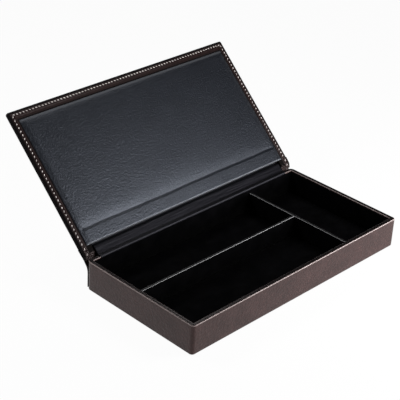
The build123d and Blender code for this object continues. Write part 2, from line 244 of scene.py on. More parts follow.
def add_ramp(nodes, links, factor, low, high, colors):
    ramp = nodes.new("ShaderNodeValToRGB")
    for stop, position, color in zip(ramp.color_ramp.elements, (low, high), colors):
        stop.position = position
        stop.color = (*color, 1)
    links.new(factor, ramp.inputs[0])
    return ramp.outputs[0]


def grey_ramp(nodes, links, factor, stops):
    """A ramp of grey values, as (position, value)."""
    ramp = nodes.new("ShaderNodeValToRGB")
    ramp.color_ramp.elements.remove(ramp.color_ramp.elements[1])
    for index, (position, value) in enumerate(stops):
        stop = ramp.color_ramp.elements[0] if index == 0 else ramp.color_ramp.elements.new(position)
        stop.position = position
        stop.color = (value, value, value, 1)
    links.new(factor, ramp.inputs[0])
    return ramp.outputs[0]


def add_bump(nodes, links, height, strength, distance, normal=None):
    bump = nodes.new("ShaderNodeBump")
    bump.inputs["Strength"].default_value = strength
    bump.inputs["Distance"].default_value = distance
    links.new(height, bump.inputs["Height"])
    if normal:
        links.new(normal, bump.inputs["Normal"])
    return bump.outputs[0]


def math_node(nodes, links, operation, first, second):
    node = nodes.new("ShaderNodeMath")
    node.operation = operation
    for socket, value in zip(node.inputs, (first, second)):
        if isinstance(value, float):
            socket.default_value = value
        else:
            links.new(value, socket)
    return node.outputs[0]


def mixed(nodes, links, mask, first, second_color):
    mix = nodes.new("ShaderNodeMix")
    mix.data_type = "RGBA"
    links.new(mask, mix.inputs["Factor"])
    links.new(first, mix.inputs[6])
    mix.inputs[7].default_value = (*second_color, 1)
    return mix.outputs[2]


def axis_of(nodes, links, vector, axis):
    split = nodes.new("ShaderNodeSeparateXYZ")
    links.new(vector, split.inputs[0])
    return split.outputs[axis]


# ---- Masks on the pieces ----
def upward(nodes, links, stops):
    """A mask from how far the surface of a piece turns upward: 0 on its sides, 1 on its top."""
    normal = nodes.new("ShaderNodeTexCoord").outputs["Normal"]
    return grey_ramp(nodes, links, axis_of(nodes, links, normal, "Z"), stops)


def lid_share(nodes, links, place, direction, length):
    """How far a point of the standing lid lies along a direction from its hinge edge, as a share of
    length."""
    along = nodes.new("ShaderNodeVectorMath")
    along.operation = "DOT_PRODUCT"
    along.inputs[1].default_value = direction
    links.new(place, along.inputs[0])
    foot = Vector((0, *open_point(LID_REAR, LID_LOW))).dot(Vector(direction))
    share = nodes.new("ShaderNodeMapRange")
    share.clamp = False
    share.inputs["From Min"].default_value = foot * MM
    share.inputs["From Max"].default_value = (foot + length) * MM
    links.new(along.outputs["Value"], share.inputs["Value"])
    return share.outputs[0]


def lining_highlight(nodes, links, place):
    """A mask for a painted highlight on the lid's lining: along the board's edge beside the hinge, and
    fainter along the foam's far edge."""
    far = LID_DEPTH - LID_FRONT_BORDER
    stops = [(0.3, 1.0), (1.3, 0.0), (far - 3.0, 0.0), (far - 1.6, 0.35), (far - 0.6, 0.35), (far - 0.1, 0.0)]
    share = lid_share(nodes, links, place, UP_THE_LID, LID_DEPTH)
    return grey_ramp(nodes, links, share, [(v / LID_DEPTH, value) for v, value in stops])


def lid_painted_shade(nodes, links, place):
    """A mask for painted shade on the lid's covering: on its outer edge, and a painted shadow inside at the
    foot of the lining."""
    across = math_node(nodes, links, "ABSOLUTE", axis_of(nodes, links, place, "X"), 0.0)
    side = math_node(nodes, links, "SUBTRACT", LID_LENGTH / 2 * MM, across)
    side = math_node(nodes, links, "DIVIDE", side, LID_SIDE_BORDER * MM)
    front = math_node(nodes, links, "SUBTRACT", 1.0, lid_share(nodes, links, place, UP_THE_LID, LID_DEPTH))
    front = math_node(nodes, links, "MULTIPLY", front, LID_DEPTH / LID_FRONT_BORDER)
    inset = math_node(nodes, links, "MINIMUM", side, front)
    # Painted shade along the outer edge.
    edge = grey_ramp(nodes, links, inset, [(0.23, 1.0), (0.30, 0.0)])
    # A painted shadow at the foot of the padded lining, on the inner face only.
    foot = grey_ramp(nodes, links, inset, [(0.80, 0.0), (0.90, 1.0)])
    outwards = lid_share(nodes, links, place, OUT_OF_THE_LID, 1.0)
    inner_face = grey_ramp(nodes, links, outwards, [(0.5, 1.0), (0.9, 0.0)])
    foot = math_node(nodes, links, "MULTIPLY", foot, inner_face)
    return math_node(nodes, links, "MAXIMUM", edge, foot)


# ---- Materials ----
# Where the painted highlight (on rounded edges) and the painted shade (on flat tops) lie, by how far the
# surface turns upward.
HIGHLIGHT_RANGE = ((0.06, 0.0), (0.30, 1.0), (0.72, 1.0), (0.86, 0.0))
PAINTED_SHADE_RANGE = ((0.90, 0.0), (0.97, 1.0))
MOTTLE_SCALE, FLECK_SCALE, GLOSS_SCALE = 55, 520, 330
SHADE_FROM, SHADE_TO = 0.36, 0.66  # noise values that take the dark and the light colour
GLOSS_UNDER, GLOSS_OVER = 0.05, 0.07  # how far roughness varies
FOLD_IRONED, FLAT_POLISH, PAINTED_SHADE_MATTE = 0.9, 0.08, 0.55


def leather_relief(nodes, links, place, grain, creases):
    """Pebbles from warped cells, with fine noise and creases over them."""
    (grain_scale, grain_depth), (crease_scale, crease_depth) = grain, creases
    cells = nodes.new("ShaderNodeTexVoronoi")
    cells.feature = "SMOOTH_F1"
    cells.inputs["Scale"].default_value = grain_scale
    cells.inputs["Smoothness"].default_value = 0.35
    bend = nodes.new("ShaderNodeTexNoise")
    bend.inputs["Scale"].default_value = grain_scale * 0.6
    links.new(place, bend.inputs["Vector"])
    warp = nodes.new("ShaderNodeVectorMath")
    warp.operation = "MULTIPLY_ADD"
    warp.inputs[1].default_value = (0.7 / grain_scale,) * 3
    links.new(bend.outputs["Color"], warp.inputs[0])
    links.new(place, warp.inputs[2])
    links.new(warp.outputs[0], cells.inputs["Vector"])
    normal = add_bump(nodes, links, cells.outputs["Distance"], 1.0, -grain_depth)
    fine = add_noise(nodes, links, place, grain_scale * 3.2, 3)
    normal = add_bump(nodes, links, fine, 1.0, grain_depth * 0.5, normal)
    folds = add_noise(nodes, links, place, crease_scale, 3, rough=0.6)
    return add_bump(nodes, links, folds, 1.0, crease_depth, normal)


def leatherette(
    name, colors, roughness, specular, tint, grain, creases, fleck=0.5,
    fold=None, highlight_range=HIGHLIGHT_RANGE, highlight_inside=None, rolled=None, painted_shade=None,
):
    """Embossed leatherette with slow changes of colour and gloss. grain and creases are (scale, depth in
    metres). fold holds the colours of a painted highlight on its rounded edges and of painted shade on its
    flat tops. rolled is the colour of a painted highlight along the edges of the lid's lining, and the last
    colour is painted shade on the lid's covering: on its outer edge, and a painted shadow beside the lining."""
    material, nodes, links, shader, place = new_material(name)
    blend = nodes.new("ShaderNodeMix")
    blend.inputs["Factor"].default_value = fleck
    links.new(add_noise(nodes, links, place, MOTTLE_SCALE, 4), blend.inputs[2])
    links.new(add_noise(nodes, links, place, FLECK_SCALE, 3, rough=0.65), blend.inputs[3])
    color = add_ramp(nodes, links, blend.outputs[0], SHADE_FROM, SHADE_TO, colors)
    normal = leather_relief(nodes, links, place, grain, creases)
    spread = nodes.new("ShaderNodeMapRange")
    spread.inputs["To Min"].default_value = roughness - GLOSS_UNDER
    spread.inputs["To Max"].default_value = roughness + GLOSS_OVER
    links.new(add_noise(nodes, links, place, GLOSS_SCALE, 4), spread.inputs["Value"])
    gloss = spread.outputs[0]
    if fold:
        edge, flat = upward(nodes, links, highlight_range), upward(nodes, links, PAINTED_SHADE_RANGE)
        if highlight_inside:
            inside = math_node(nodes, links, "LESS_THAN", axis_of(nodes, links, place, "Y"), highlight_inside * MM)
            edge = math_node(nodes, links, "MULTIPLY", edge, inside)
        # A painted highlight on the rounded edges, and painted shade on the flat tops.
        color = mixed(nodes, links, edge, color, fold[0])
        color = mixed(nodes, links, flat, color, fold[1])
        # Under the painted highlight on the edges and the painted shade on the flat tops, the creases are
        # ironed out.
        ironed = math_node(nodes, links, "MAXIMUM", edge, flat)
        ironed = math_node(nodes, links, "MULTIPLY", ironed, FOLD_IRONED)
        links.new(math_node(nodes, links, "SUBTRACT", 1.0, ironed), normal.node.inputs["Strength"])
        polish = math_node(nodes, links, "MULTIPLY", flat, FLAT_POLISH)
        gloss = math_node(nodes, links, "SUBTRACT", gloss, polish)
    if rolled:
        # A painted highlight along the lining's edges.
        color = mixed(nodes, links, lining_highlight(nodes, links, place), color, rolled)
    if painted_shade:
        # Painted shade on the outer edge and a painted shadow beside the lining, made matte.
        painted_shade_mask = lid_painted_shade(nodes, links, place)
        color = mixed(nodes, links, painted_shade_mask, color, painted_shade)
        gloss = math_node(nodes, links, "ADD", gloss, math_node(nodes, links, "MULTIPLY", painted_shade_mask, PAINTED_SHADE_MATTE))
    links.new(color, shader.inputs["Base Color"])
    links.new(normal, shader.inputs["Normal"])
    links.new(gloss, shader.inputs["Roughness"])
    shader.inputs["Specular IOR Level"].default_value = specular
    shader.inputs["Specular Tint"].default_value = (*tint, 1)
    return material


def velvet_material():
    """Short pile: nearly black, with brushed patches and a faint sheen at grazing angles."""
    material, nodes, links, shader, place = new_material("black_velvet")
    patches = add_noise(nodes, links, place, 70, 3, stretch=(1, 1.6, 1))
    color = add_ramp(nodes, links, patches, 0.35, 0.7, ((0.0006, 0.0006, 0.0008), (0.0020, 0.0019, 0.0023)))
    links.new(color, shader.inputs["Base Color"])
    pile = add_noise(nodes, links, place, 5200, 2)
    links.new(add_bump(nodes, links, pile, 1.0, 0.00012), shader.inputs["Normal"])
    shader.inputs["Roughness"].default_value = 0.95
    shader.inputs["Specular IOR Level"].default_value = 0.015
    shader.inputs["Sheen Weight"].default_value = 0.004
    shader.inputs["Sheen Roughness"].default_value = 0.5
    return material


def thread_material():
    """Waxed sewing thread: two plies twisted together, slightly soiled in places."""
    material, nodes, links, shader, place = new_material("beige_thread")
    soil = add_noise(nodes, links, place, 160, 3)
    color = add_ramp(nodes, links, soil, 0.3, 0.7, ((0.50, 0.445, 0.425), (0.72, 0.66, 0.635)))
    links.new(color, shader.inputs["Base Color"])
    twist = nodes.new("ShaderNodeTexWave")
    twist.bands_direction = "DIAGONAL"
    twist.inputs["Scale"].default_value = 900
    twist.inputs["Distortion"].default_value = 1.5
    links.new(place, twist.inputs["Vector"])
    links.new(add_bump(nodes, links, twist.outputs["Fac"], 0.8, 0.00006), shader.inputs["Normal"])
    shader.inputs["Roughness"].default_value = 0.55
    return material


def plain_fibre(name, dark, light, scale, depth):
    """Board, card and felt: a mottled, fibrous, matte surface."""
    material, nodes, links, shader, place = new_material(name)
    mottle = add_noise(nodes, links, place, scale, 6, rough=0.65)
    links.new(add_ramp(nodes, links, mottle, 0.32, 0.68, (dark, light)), shader.inputs["Base Color"])
    fibres = add_noise(nodes, links, place, scale * 6, 3)
    links.new(add_bump(nodes, links, fibres, 0.8, depth), shader.inputs["Normal"])
    shader.inputs["Roughness"].default_value = 0.92
    shader.inputs["Specular IOR Level"].default_value = 0.15
    return material


TRAY_LEATHER = leatherette(
    "brown_leatherette",
    colors=((0.023, 0.0109, 0.0100), (0.050, 0.0246, 0.0229)),
    roughness=0.31,
    specular=0.28,
    tint=(1, 0.85, 0.85),
    grain=(1500, 0.00003),
    creases=(420, 0.00032),
    fleck=0.6,
    # A painted highlight on the rim's rounded edges, and painted shade on its flat top.
    fold=((0.30, 0.25, 0.24), (0.0030, 0.0019, 0.0019)),
)
LID_LEATHER = leatherette(
    "lid_leatherette",
    colors=((0.0070, 0.0034, 0.0032), (0.0180, 0.0092, 0.0086)),
    roughness=0.38,
    specular=0.18,
    tint=(1, 0.85, 0.85),
    grain=(1400, 0.00003),
    creases=(420, 0.00016),
    fleck=0.6,
    # Painted shade on the outer edge, and a painted shadow beside the lining.
    painted_shade=(0.0006, 0.0004, 0.0004),
)
LINING_LEATHER = leatherette(
    "black_leatherette",
    colors=((0.0014, 0.0018, 0.0032), (0.0056, 0.0064, 0.0094)),
    roughness=0.38,
    specular=0.62,
    tint=(0.78, 0.85, 1),
    grain=(1250, 0.00006),
    creases=(580, 0.00040),
    fleck=0.6,
    # A painted highlight along the lining's edge by the hinge and, fainter, along its far edge.
    rolled=(0.13, 0.135, 0.145),
)
STRIP_LEATHER = leatherette(
    "strip_leatherette",
    colors=((0.0018, 0.0016, 0.0026), (0.0046, 0.0042, 0.0060)),
    roughness=0.50,
    specular=0.12,
    tint=(0.85, 0.86, 1),
    grain=(1500, 0.00004),
    creases=(420, 0.00010),
    # A painted highlight on the strip's fold over the rear rim, and painted shade on its flat there.
    fold=((0.024, 0.0235, 0.028), (0.0012, 0.0012, 0.0015)),
    highlight_range=((0.10, 0.0), (0.25, 1.0), (0.65, 1.0), (0.80, 0.0)),
    highlight_inside=STRIP_HIGHLIGHT_INSIDE,
)
EDGE_LEATHER = leatherette(
    "divider_edge_leatherette",
    colors=((0.006, 0.006, 0.007), (0.010, 0.010, 0.011)),
    roughness=0.40,
    specular=0.3,
    tint=(1, 1, 1),
    grain=(1500, 0.00001),
    creases=(420, 0.00001),
    # A painted highlight on the divider's rounded top edges, and painted shade on its flat top.
    fold=((0.34, 0.34, 0.35), (0.002, 0.002, 0.0024)),
)
VELVET = velvet_material()
THREAD_MATERIAL = thread_material()
BOARD = plain_fibre("grey_board", (0.20, 0.165, 0.125), (0.31, 0.265, 0.21), 380, 0.00005)
CARD = plain_fibre("card", (0.24, 0.22, 0.19), (0.33, 0.31, 0.28), 300, 0.00004)
FELT = plain_fibre("black_felt", (0.006, 0.006, 0.0065), (0.016, 0.016, 0.017), 900, 0.00012)


# ---- Tray ----
def rounded_ring(half_x, half_y, radii, count_x, count_y, count_arc, centre_y=0.0):
    """Points round a rectangle with rounded corners, always the same number of them. radii: front, rear."""
    front, rear = (max(radius, 0.0) for radius in radii)
    corners = []
    for turn, (sx, sy, radius) in enumerate(((1, -1, front), (1, 1, rear), (-1, 1, rear), (-1, -1, front))):
        centre = (sx * (half_x - radius), sy * (half_y - radius))
        corners.append(arc(centre, radius, turn * 90 - 90, turn * 90, count_arc))
    points = []
    for corner, after, count in zip(corners, corners[1:] + corners[:1], (count_y, count_x) * 2):
        points.extend(corner)
        (x0, y0), (x1, y1) = corner[-1], after[0]
        points.extend((x0 + (x1 - x0) * k / count, y0 + (y1 - y0) * k / count) for k in range(1, count))
    return [(x, y + centre_y) for x, y in points]


def ring_piece(profile, half_x, half_y, radii, counts, closed=True, centre_y=0.0):
    """Sweeps a profile of (inset, height) round a rounded rectangle."""
    points = []
    for inset, height in profile:
        smaller = [radius - inset for radius in radii]
        ring = rounded_ring(half_x - inset, half_y - inset, smaller, *counts, centre_y)
        points.extend((x, y, height) for x, y in ring)
    columns = len(points) // len(profile)
    return np.array(points), grid_faces(len(profile), columns, closed, True)


def tray_cover():
    """Leatherette round the walls: under the base, up the outside, over the rim and down inside."""
    top, foot, inner = TRAY_HEIGHT, BASE_SHEET, RIM_WIDTH
    profile = [(TURN_UNDER, foot), (6.0, foot), (1.4, foot)]
    profile += arc((FOOT_ROUND, foot + FOOT_ROUND), FOOT_ROUND, 270, 180, 5)
    profile += [(0.0, z) for z in (2.2, 4.0, 8.0, 13.0, 18.0, 23.0, 26.5)]
    profile += arc((RIM_ROUND_OUTSIDE, top - RIM_ROUND_OUTSIDE), RIM_ROUND_OUTSIDE, 180, 90, 9)
    profile += [(1.5, top - 0.01), (2.1, top - RIM_DIP), (2.9, top - RIM_DIP)]
    profile += arc((inner - RIM_ROUND_INSIDE, top - RIM_ROUND_INSIDE - 0.02), RIM_ROUND_INSIDE, 90, 0, 6)
    profile += [(inner, 27.5), (inner, FLOOR)]
    profile += [(inner - COVER, FLOOR), (inner - COVER, top - COVER), (COVER, top - COVER)]
    profile += [(COVER, foot + COVER), (TURN_UNDER, foot + COVER)]
    points, faces = ring_piece(profile, TRAY_LENGTH / 2, TRAY_DEPTH / 2, TRAY_CORNERS, (64, 34, 8))
    # The covering isn't dead flat on its boards.
    inset = np.minimum(TRAY_LENGTH / 2 - abs(points[:, 0]), TRAY_DEPTH / 2 - abs(points[:, 1]))
    outside = soft_step(6.0, 1.0, inset)
    swell = 0.10 * waves(points, (38, 38, 16), 1.0) + 0.04 * waves(points, (11, 11, 9), 2.0)
    swell *= outside * soft_step(foot, foot + 3, points[:, 2])
    along_x = abs(points[:, 1]) > TRAY_DEPTH / 2 - 1.5
    points[:, 1] += np.where(along_x, np.sign(points[:, 1]) * swell, 0)
    points[:, 0] += np.where(along_x, 0, np.sign(points[:, 0]) * swell)
    obj = piece("wall_cover_leatherette", [(points, faces)], TRAY_LEATHER, cap=False)
    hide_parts("wall_cover")
    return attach(obj, "tray")


def wall_linings():
    """Velvet on card inside the four walls, with a soft top edge."""
    top, round_ = LINING_TOP, LINING_ROUND
    profile = [(0.0, FLOOR), (0.0, top - round_)] + arc((round_, top - round_), round_, 180, 90, 3)
    profile += arc((LINING - round_, top - round_), round_, 90, 0, 3) + [(LINING, 20.0), (LINING, FLOOR)]
    counts = (80, 40, 2)
    points, faces = ring_piece(
        profile, LINING_HALF_X, LINING_HALF_Y, (0.6, 0.6), counts, centre_y=LINING_CENTRE_Y
    )
    points[:, 2] += 0.12 * waves(points, (9, 9, 400), 5.0) * soft_step(20, top, points[:, 2])
    obj = piece("wall_lining_velvet", [(points, faces)], VELVET, cap=False)
    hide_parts("front_wall_lining", "rear_wall_lining", "left_wall_lining", "right_wall_lining")
    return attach(obj, "tray")


def floor_pad(node):
    """A velvet pad on card: soft edges, a slight crown and an uneven top."""
    low, high = (np.array(c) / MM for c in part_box(node))
    centre, half = (low + high) / 2, (high - low) / 2
    height, round_ = high[2] - low[2], FLOOR_PAD_ROUND
    rings = [(0.0, 0.0), (0.0, height - round_)]
    rings += [(round_ - x, height - round_ + y) for x, y in arc((0, 0), round_, 0, 90, 5)][1:]
    rings += [(FLOOR_PAD_SLOPE / 2, height + 0.02), (FLOOR_PAD_SLOPE, height + FLOOR_PAD_SWELL)]
    counts = (48, 24, 3)
    points, faces = ring_piece(rings, half[0], half[1], (FLOOR_PAD_CORNER,) * 2, counts, closed=False)
    inner_x, inner_y = half[0] - FLOOR_PAD_SLOPE, half[1] - FLOOR_PAD_SLOPE
    xs, ys = np.linspace(-inner_x, inner_x, counts[0] + 1), np.linspace(-inner_y, inner_y, counts[1] + 1)
    top = np.array([(x, y, height + FLOOR_PAD_SWELL) for x in xs for y in ys])
    ease = np.minimum(inner_x - abs(top[:, 0]), inner_y - abs(top[:, 1]))
    uneven = 0.10 * waves(top, (17, 17, 50), 3.3) * soft_step(0, 6, ease)
    top[:, 2] += FLOOR_PAD_CROWN * soft_step(0, 18, ease) + uneven
    shift = np.array([centre[0], centre[1], low[2]])
    parts = [(points + shift, faces), (top + shift, grid_faces(len(xs), len(ys)))]
    obj = piece(node + "_velvet", parts, VELVET)
    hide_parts(node)
    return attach(obj, "tray")


def divider(name, along_x, nodes):
    """A folded velvet cover over a stiff core, with a bound top edge, a little uneven along its top."""
    low, high = (np.array(c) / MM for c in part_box(nodes[0]))
    centre, half = (low + high) / 2, (high - low) / 2
    half_along, half_across = (half[0], half[1]) if along_x else (half[1], half[0])
    round_ = DIVIDER_ROUND
    side = [(half_across, low[2]), (half_across, 12.0), (half_across, 20.0)]
    side += arc((half_across - round_, high[2] - round_), round_, 0, 90, 6) + [(0.25, high[2] - 0.04)]
    section = [(-x, z) for x, z in side] + side[::-1]
    along = spaced(-half_along, half_along, 0.8, 4.0, 3.0)
    points = np.array([(a, across, height) for a in along for across, height in section])
    up = soft_step(14, high[2], points[:, 2])
    points[:, 1] += 0.12 * waves(points, (30, 1000, 60), 8.0 + half_along) * up
    points[:, 2] += 0.06 * waves(points, (14, 1000, 1000), 4.0) * up - 0.05
    if not along_x:
        points = points[:, [1, 0, 2]]
    points[:, :2] += centre[:2]
    obj = piece(name, [(points, grid_faces(len(along), len(section), False, True))], VELVET)
    obj.data.materials.append(EDGE_LEATHER)
    for face in obj.data.polygons:
        face.material_index = int(face.center.z > (high[2] - EDGE_BINDING) * MM)
    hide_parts(*nodes)
    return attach(obj, "tray")


# ---- Lid ----
def u_run(inset, height, count_v, count_x, count_arc):
    """Points from the hinge edge up the left side, across the front and down the right side, at one inset."""
    radius = max(LID_CORNER_RADIUS - inset, 0.0)
    half, depth = LID_LENGTH / 2 - inset, LID_DEPTH - inset
    left = [(-half, (depth - radius) * k / count_v) for k in range(count_v)]
    corner_left = arc((-half + radius, depth - radius), radius, 180, 90, count_arc)
    front = [(-half + radius + 2 * (half - radius) * k / count_x, depth) for k in range(1, count_x)]
    corner_right = arc((half - radius, depth - radius), radius, 90, 0, count_arc)
    right = [(half, (depth - radius) * (1 - k / count_v)) for k in range(1, count_v + 1)]
    return [(x, v, height) for x, v in left + corner_left + front + corner_right + right]


def stitch_step(length):
    """The pitch that fits a whole number of stitches into a row."""
    return length / int(length // STITCH_PITCH)


def seam_height(inset, along):
    """How far the stitched border stands proud: two soft welts with the row of stitches pulled in between."""
    welts = soft_step(0.9, 2.1, inset) * soft_step(7.0, 5.2, inset)
    valley = np.exp(-((inset - STITCH_INSET) / VALLEY_HALF) ** 2)
    pull = 0.5 + 0.5 * np.cos(2 * math.pi * along)
    return WELT_HEIGHT * welts * (1 - valley * (0.85 + 0.15 * pull)) * (1 - 0.22 * pull)


def lid_cover():
    """Outer leatherette of the lid with its turned-in border. Stitching draws it down on both faces."""
    thick, rounding = LID_THICKNESS, LID_EDGE_ROUND
    seam = [6.9, 6.4, 5.9, 5.4, 4.95, 4.6, 4.25, STITCH_INSET, 3.65, 3.3, 2.9, 2.45, 2.0]
    profile = [(LID_FLAT_FROM, thick - LEATHER), (LEATHER, thick - LEATHER), (LEATHER, LEATHER)]
    profile += [(LID_TURN_IN, LEATHER)] + [(inset, 0.0) for inset in [LID_TURN_IN, 11.0, 9.9, 7.6] + seam]
    profile += arc((rounding, rounding), rounding, 270, 180, 6)
    profile += [(0.0, thick / 2)]
    profile += arc((rounding, thick - rounding), rounding, 180, 90, 6)
    profile += [(inset, thick) for inset in seam[::-1] + [8.0, LID_FLAT_FROM]]
    points = np.array([point for inset, w in profile for point in u_run(inset, w, 228, 452, 5)])
    columns = len(points) // len(profile)
    faces = grid_faces(len(profile), columns)
    # The flat outer face, the same on the board's side, and the cut edges beside the hinge.
    starts = [row * columns for row in range(len(profile))]
    ends = [start + columns - 1 for start in starts]
    faces += [tuple(range(columns)), tuple(range(starts[-1], ends[-1] + 1)), tuple(starts), tuple(ends)]
    faces.append((starts[0], starts[-1], ends[-1], ends[0]))
    half, far = LID_LENGTH / 2, LID_DEPTH - STITCH_INSET
    side, front = half - abs(points[:, 0]), LID_DEPTH - points[:, 1]
    inset = np.minimum(side, front)
    up_the_side = (points[:, 1] - FIRST_STITCH) / stitch_step(far - FIRST_STITCH)
    along_the_front = (points[:, 0] + half - STITCH_INSET) / stitch_step(2 * (half - STITCH_INSET))
    seam_out = seam_height(inset, np.where(side < front, up_the_side, along_the_front))
    on_a_face = abs(points[:, 2] - thick / 2) > thick / 2 - 0.3
    points[:, 2] += seam_out * (np.where(points[:, 2] > thick / 2, OUTER_WELTS, -1.0) * on_a_face)
    ease = soft_step(0, 4, points[:, 1])
    inside = soft_step(0, 3, inset)
    slack = 0.10 * waves(points, (42, 42, 60), 11.0) + 0.035 * waves(points, (9, 9, 20), 12.0)
    points[:, 2] += slack * ease * inside * soft_step(11.0, 7.5, inset)
    edge = 0.06 * waves(points, (16, 16, 30), 13.0) * (1 - inside) * ease
    points[:, 0] += np.sign(points[:, 0]) * edge
    parts = [(lid_place(points), faces)]
    obj = piece("lid_cover_leatherette", parts, LID_LEATHER, cap=False)
    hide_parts("lid_cover")
    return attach(obj, "lid")


def pad_rise(distance, slope):
    """The rise of a pad from its foot: a sharp step, then a soft slope."""
    near = 1 - np.exp(-np.maximum(distance, 0) / 0.22)
    return 0.42 * near + 0.58 * soft_step(0, slope, distance)


def pad_height(x, v):
    """How far the padded lining stands over the border: a sharp foot, a soft slope, a crown, and a pressed
    groove, to which the panel falls gently and the rail rises steeply."""
    side = LID_LENGTH / 2 - LID_SIDE_BORDER - abs(x)
    front = LID_DEPTH - LID_FRONT_BORDER - v
    height = PANEL_HEIGHT * pad_rise(side, 5.5) * pad_rise(front, 7.0)
    height += PANEL_CROWN * soft_step(0, 30, side) * soft_step(0, 30, front)
    past = v - GROOVE_FROM_HINGE - 0.16 * np.sin(x / 21.0) - 0.08 * np.sin(x / 8.3 + 1.0)
    groove = np.where(past > 0, np.exp(-np.maximum(past, 0) / 6.0), soft_step(-2.8, 0.2, past))
    height *= 1 - GROOVE_DEPTH * groove * soft_step(0.5, 6.0, side)
    return height * (1 - 0.16 * soft_step(GROOVE_FROM_HINGE, GROOVE_FROM_HINGE - 3, v))


def lid_lining():
    """Black leatherette over thin foam: one sheet with the large panel, the pressed groove and the rail,
    rolled over the board's edge beside the hinge."""
    half = LID_LENGTH / 2 - LID_SIDE_BORDER
    far = LID_DEPTH - LID_FRONT_BORDER
    xs = spaced(-half, half, 0.18, 3.2, 0.8)
    front_rows = far - np.array([7.0, 6.0, 5.0, 4.0, 3.2, 2.5, 2.0, 1.4, 0.9, 0.55, 0.3, 0.15, 0.06, 0.0])
    panel_rows = [v for v in spaced(23.0, far, 0.5, 3.0, 0.3)[1:] if v < front_rows[0] - 0.2]
    rows = [ROLL_FROM, 2.0, 3.0, 4.5, 5.8] + list(np.arange(7.0, 23.0, 0.5)) + panel_rows + list(front_rows)
    points = [(x, v, -float(pad_height(x, v))) for v in reversed(rows) for x in xs]
    for step in range(1, 9):
        turn = math.radians(90 * step / 8)
        for x in xs:
            height = float(pad_height(x, ROLL_FROM))
            drop = min(height, ROLL_DROP)
            points.append((x, ROLL_FROM - ROLL_FROM * math.sin(turn), -height + drop * (1 - math.cos(turn))))
    for v, w in ((0.0, 0.6), (0.0, 2.0), (0.0, LINING_BEHIND), (0.6, LINING_BEHIND), (0.6, 0.05)):
        points.extend((x, v, w) for x in xs)
    points = np.array(points)
    side = half - abs(points[:, 0])
    raised = soft_step(0.3, 1.0, -points[:, 2]) * soft_step(0.5, 4, side)
    uneven = 0.09 * waves(points, (30, 26, 50), 21.0) + 0.03 * waves(points, (7, 6, 20), 22.0)
    points[:, 2] += raised * uneven
    faces = grid_faces(len(points) // len(xs), len(xs), True)
    obj = piece("lid_lining_padded", [(lid_place(points), faces)], LINING_LEATHER)
    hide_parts("lid_lining", "lid_foam_panel", "lid_foam_rail")
    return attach(obj, "lid")


# ---- Hinge ----
def bent_path(corners, radii, step):
    """Points and normals along straight runs joined by tangent arcs, seen from the side."""
    corners = [Vector(c) for c in corners]
    path = [corners[0]]
    for before, corner, after, radius in zip(corners, corners[1:], corners[2:], radii):
        inward, outward = (before - corner).normalized(), (after - corner).normalized()
        half = inward.angle(outward) / 2
        reach = radius / math.tan(half)
        centre = corner + (inward + outward).normalized() * (radius / math.sin(half))
        first, last = corner + inward * reach, corner + outward * reach
        count = max(4, round(radius * (math.pi - 2 * half) / step))
        swing = (first - centre).angle_signed(last - centre)
        turns = [Matrix.Rotation(-swing * k / count, 2) for k in range(count + 1)]
        path.extend(centre + turn @ (first - centre) for turn in turns)
    path.append(corners[-1])
    even = [path[0]]
    for a, b in zip(path, path[1:]):
        count = max(1, round((b - a).length / step))
        even.extend(a + (b - a) * k / count for k in range(1, count + 1))
    even = np.array([tuple(p) for p in even])
    along = np.gradient(even, axis=0)
    along /= np.linalg.norm(along, axis=1)[:, None]
    return even, np.column_stack((-along[:, 1], along[:, 0]))


def lengths_along(path):
    return np.concatenate(([0], np.cumsum(np.linalg.norm(np.diff(path, axis=0), axis=1))))


def bent_sheet(path, normals, sides, thickness, spread, shape):
    """A closed sheet along a side-view path. sides holds its left and right x at each point, spread the
    places of its columns from -1 to 1, and shape(x, along, side, from_end) moves a face out along the
    normal."""
    section = [(f, 1) for f in spread] + [(1.0, 0.0)] + [(f, -1) for f in reversed(spread)] + [(-1.0, 0.0)]
    points = []
    for (y, z), (ny, nz), (left, right), along in zip(path, normals, sides, lengths_along(path)):
        middle, half = (left + right) / 2, (right - left) / 2
        for fraction, side in section:
            x = middle + half * fraction
            offset = thickness / 2 * side + shape(x, along, side, min(x - left, right - x))
            points.append((x, y + ny * offset, z + nz * offset))
    return np.array(points), grid_faces(len(path), len(section), False, True)


def hinge_leather_path():
    start = open_point(LID_REAR, LID_LOW + LID_THICKNESS - LEATHER / 2)
    wall_y = TRAY_DEPTH / 2 + LEATHER / 2
    corner = (wall_y, start[1] - (start[0] - wall_y) / math.tan(OPEN_ANGLE - math.pi / 2))
    return bent_path([start, corner, (wall_y, FLAP_FOOT)], [HINGE_BEND], 0.6)


def hinge_half(z):
    """Half the hinge leather's length: it tapers from the lid's to the flap's."""
    lid_end = open_point(LID_REAR, LID_LOW + LID_THICKNESS)[1]
    return FLAP_HALF + (LID_LENGTH / 2 - FLAP_HALF) * float(soft_step(lid_end - HINGE_FREE, lid_end, z))


def hem_path():
    """Where the leather's ends are folded in: level with the lid's border, then down behind the rim."""
    corners = [
        open_point(LID_REAR - 0.2, LID_LOW + HEM / 2),
        open_point(LID_REAR + 6.5, LID_LOW + 0.9),
        HEM_END,
    ]
    return bent_path(corners, [HEM_BEND], 0.3)


def leather_shape(x, along, side, from_end):
    """Small folds where the hinge leather is free, and the seam's welts on its outside."""
    free = float(soft_step(0.5, 3, along) * soft_step(26, 20, along))
    ends = float(soft_step(16, 8, from_end))
    fold = crease(x, along, 31.0, 2.2, 16.0) * 0.30 * ends + crease(x, along, 33.0, 5.0, 60.0) * 0.14
    seam = float(seam_height(from_end, along / STITCH_PITCH)) * 0.6 if side > 0 else 0.0
    return free * fold + seam


